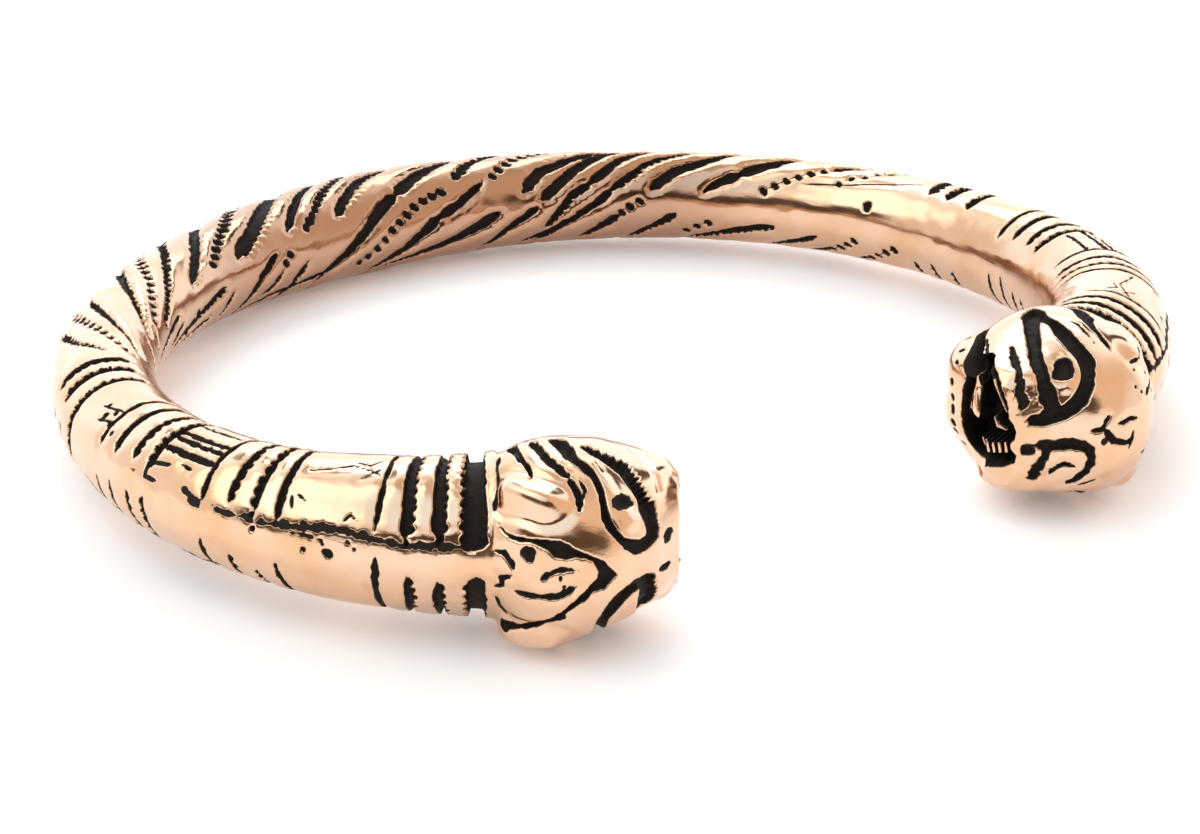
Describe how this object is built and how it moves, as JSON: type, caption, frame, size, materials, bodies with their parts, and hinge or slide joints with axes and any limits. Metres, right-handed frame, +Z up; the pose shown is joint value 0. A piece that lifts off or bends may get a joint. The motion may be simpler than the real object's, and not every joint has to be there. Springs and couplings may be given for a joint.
{
  "type": "viking arm ring",
  "caption": "Cast bronze open arm ring, lying flat: a hoop twisted across its back and banded near its ends, which are beast heads that face across a gap.",
  "frame": {"origin": "middle of the footprint, on the surface that the ring lies on", "axes": "+Z up from the surface; the gap between the heads faces -Y, the back of the hoop is at +Y and the two arms are at -X and +X"},
  "size_m": [0.075, 0.065, 0.0115],
  "materials": {
    "bronze": "cast bronze, polished on the high places, with a near-black patina left in the grooves"
  },
  "bodies": {
    "root": {"arm_ring": "bronze"}
  },
  "joints": []
}
